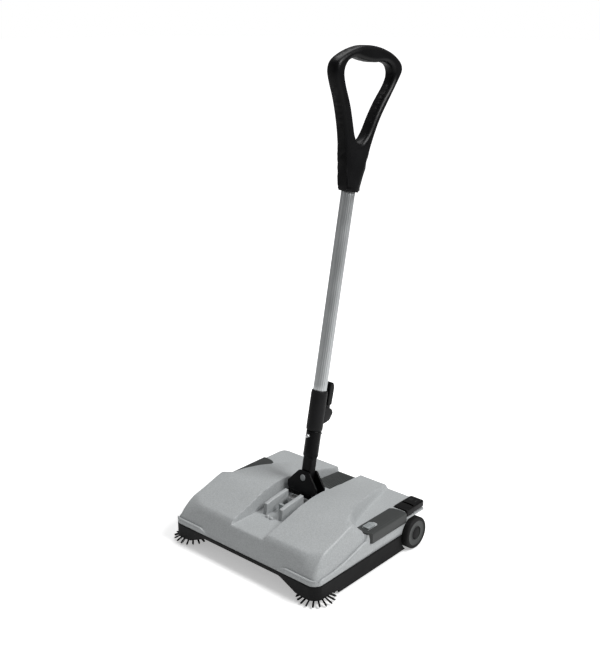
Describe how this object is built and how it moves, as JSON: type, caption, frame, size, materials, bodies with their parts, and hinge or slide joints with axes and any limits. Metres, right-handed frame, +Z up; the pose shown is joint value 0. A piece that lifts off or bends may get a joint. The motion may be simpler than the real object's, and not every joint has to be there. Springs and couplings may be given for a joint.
{
  "type": "battery carpet sweeper",
  "caption": "Walk-behind battery floor sweeper: low silver-grey body, turning main and side brushes, drop-out dust bin, two-axis neck and telescopic pole with a loop grip.",
  "frame": {"origin": "on the floor, under the middle of the whole object's box", "axes": "+Z up, +X to the right when pushing, -Y the way it is pushed, +Y towards the user"},
  "size_m": [0.375, 0.4346, 0.8821],
  "materials": {
    "silver_cover": "moulded ABS, silver-grey with fine metallic flake, satin",
    "black_chassis": "black ABS, fine spark-eroded texture",
    "dark_grey_insert": "dark grey ABS, satin",
    "black_switch": "black ABS, satin",
    "light_grey_button": "light grey ABS, satin",
    "bristle": "black nylon bristle",
    "rubber": "black rubber, matt",
    "steel": "zinc-plated steel",
    "battery_wrap": "shrink-wrapped pack",
    "black_handle": "black polypropylene, satin",
    "tube": "natural anodised, drawn",
    "bin_plastic": "smoke-grey polystyrene"
  },
  "bodies": {
    "body": {"base_chassis": "black_chassis", "top_cover": "silver_cover", "side_insert_left": "dark_grey_insert", "side_insert_right": "dark_grey_insert", "switch_block": "black_switch", "switch_body": "black_chassis", "pedal_spring": "steel", "battery_pack": "battery_wrap", "charge_socket": "black_chassis", "drive_motor": "steel", "drive_belt": "rubber", "side_belt_left": "rubber", "side_belt_right": "rubber", "roller_bearing_left": "steel", "roller_bearing_right": "steel", "wheel_axle_left": "steel", "wheel_axle_right": "steel", "latch_seat": "light_grey_button", "latch_spring": "steel", "cover_screw_1": "steel", "cover_screw_2": "steel", "cover_screw_3": "steel", "cover_screw_4": "steel"},
    "battery_cover": {"battery_cover": "dark_grey_insert"},
    "yoke": {"yoke": "black_handle", "yoke_pin": "steel", "neck_rivet": "steel"},
    "neck": {"neck_fitting": "black_handle", "inner_tube": "tube", "cross_bolt": "steel", "cross_nut": "steel"},
    "pole": {"outer_tube": "tube", "clamp_sleeve": "black_handle", "lever_pin": "steel", "grip": "black_handle"},
    "clamp_lever": {"clamp_lever": "black_handle"},
    "roller": {"main_brush": "bristle", "brush_pulley": "light_grey_button"},
    "motor_drive": {"motor_pulley": "light_grey_button"},
    "pedal": {"foot_pedal": "black_switch"},
    "bin": {"dust_bin": "bin_plastic", "dust_lip": "rubber"},
    "park_latch": {"park_latch": "steel"},
    "side_brush_left": {"side_brush_left": "bristle", "side_pulley_left": "light_grey_button"},
    "wheel_left": {"wheel_tyre_left": "rubber", "wheel_rim_left": "dark_grey_insert", "hub_cap_left": "dark_grey_insert"},
    "front_roller_left": {"front_roller_left": "black_chassis"},
    "latch_button_left": {"latch_button_left": "light_grey_button"},
    "side_brush_right": {"side_brush_right": "bristle", "side_pulley_right": "light_grey_button"},
    "wheel_right": {"wheel_tyre_right": "rubber", "wheel_rim_right": "dark_grey_insert", "hub_cap_right": "dark_grey_insert"},
    "front_roller_right": {"front_roller_right": "black_chassis"},
    "latch_button_right": {"latch_button_right": "light_grey_button"}
  },
  "joints": [
    {"name": "handle_pitch", "type": "hinge", "parent": "body", "child": "yoke", "pos_m": [0, -0.0367, 0.086], "axis": [-1, 0, 0], "range_deg": [0, 50]},
    {"name": "neck_roll", "type": "hinge", "parent": "yoke", "child": "neck", "pos_m": [0, -0.03001, 0.11801], "axis": [0, 0.9789, -0.2045], "range_deg": [-45, 45]},
    {"name": "pole_slide", "type": "slide", "parent": "neck", "child": "pole", "axis": [0, 0.2045, 0.9789], "range_m": [0, 0.25]},
    {"name": "lever_open", "type": "hinge", "parent": "pole", "child": "clamp_lever", "pos_m": [0, 0.01856, 0.22974], "axis": [-1, 0, 0], "range_deg": [0, 100]},
    {"name": "roller_spin", "type": "hinge", "parent": "body", "child": "roller", "pos_m": [0, -0.1299, 0.0305], "axis": [1, 0, 0], "continuous": true},
    {"name": "motor_spin", "type": "hinge", "parent": "body", "child": "motor_drive", "pos_m": [0, 0.0651, 0.032], "axis": [1, 0, 0], "continuous": true},
    {"name": "side_brush_left_spin", "type": "hinge", "parent": "body", "child": "side_brush_left", "pos_m": [-0.1517, -0.1818, 0.03], "axis": [0, 0, 1], "continuous": true},
    {"name": "wheel_left_spin", "type": "hinge", "parent": "body", "child": "wheel_left", "pos_m": [-0.173, 0.0631, 0.03], "axis": [1, 0, 0], "continuous": true},
    {"name": "front_roller_left_spin", "type": "hinge", "parent": "body", "child": "front_roller_left", "pos_m": [-0.1505, -0.1079, 0.008], "axis": [1, 0, 0], "continuous": true},
    {"name": "latch_button_left_slide", "type": "slide", "parent": "body", "child": "latch_button_left", "axis": [0, 1, 0], "range_m": [0, 0.005], "stiffness_N_per_m": 400, "springref_m": -0.002},
    {"name": "side_brush_right_spin", "type": "hinge", "parent": "body", "child": "side_brush_right", "pos_m": [0.1517, -0.1818, 0.03], "axis": [0, 0, 1], "continuous": true},
    {"name": "wheel_right_spin", "type": "hinge", "parent": "body", "child": "wheel_right", "pos_m": [0.173, 0.0631, 0.03], "axis": [1, 0, 0], "continuous": true},
    {"name": "front_roller_right_spin", "type": "hinge", "parent": "body", "child": "front_roller_right", "pos_m": [0.1505, -0.1079, 0.008], "axis": [1, 0, 0], "continuous": true},
    {"name": "latch_button_right_slide", "type": "slide", "parent": "body", "child": "latch_button_right", "axis": [0, 1, 0], "range_m": [0, 0.005], "stiffness_N_per_m": 400, "springref_m": -0.002},
    {"name": "pedal_press", "type": "hinge", "parent": "body", "child": "pedal", "pos_m": [0.155, 0.0643, 0.0715], "axis": [-1, 0, 0], "range_deg": [0, 3], "stiffness_Nm_per_rad": 2, "springref_deg": -5.73, "deforming": ["pedal_spring"]},
    {"name": "bin_drop", "type": "slide", "parent": "body", "child": "bin", "axis": [0, 0, -1], "range_m": [0, 0.08]},
    {"name": "park_latch_slide", "type": "slide", "parent": "body", "child": "park_latch", "axis": [0, -1, 0], "range_m": [0, 0.005], "stiffness_N_per_m": 500, "springref_m": -0.003, "deforming": ["latch_spring"]},
    {"name": "battery_cover_lift", "type": "slide", "parent": "body", "child": "battery_cover", "axis": [0, 0, 1], "range_m": [0, 0.016]}
  ],
  "couplings": [
    {"joint": "motor_spin", "follows": "roller_spin", "ratio": 2},
    {"joint": "side_brush_left_spin", "follows": "roller_spin", "ratio": 0.951},
    {"joint": "side_brush_right_spin", "follows": "roller_spin", "ratio": -0.951}
  ]
}
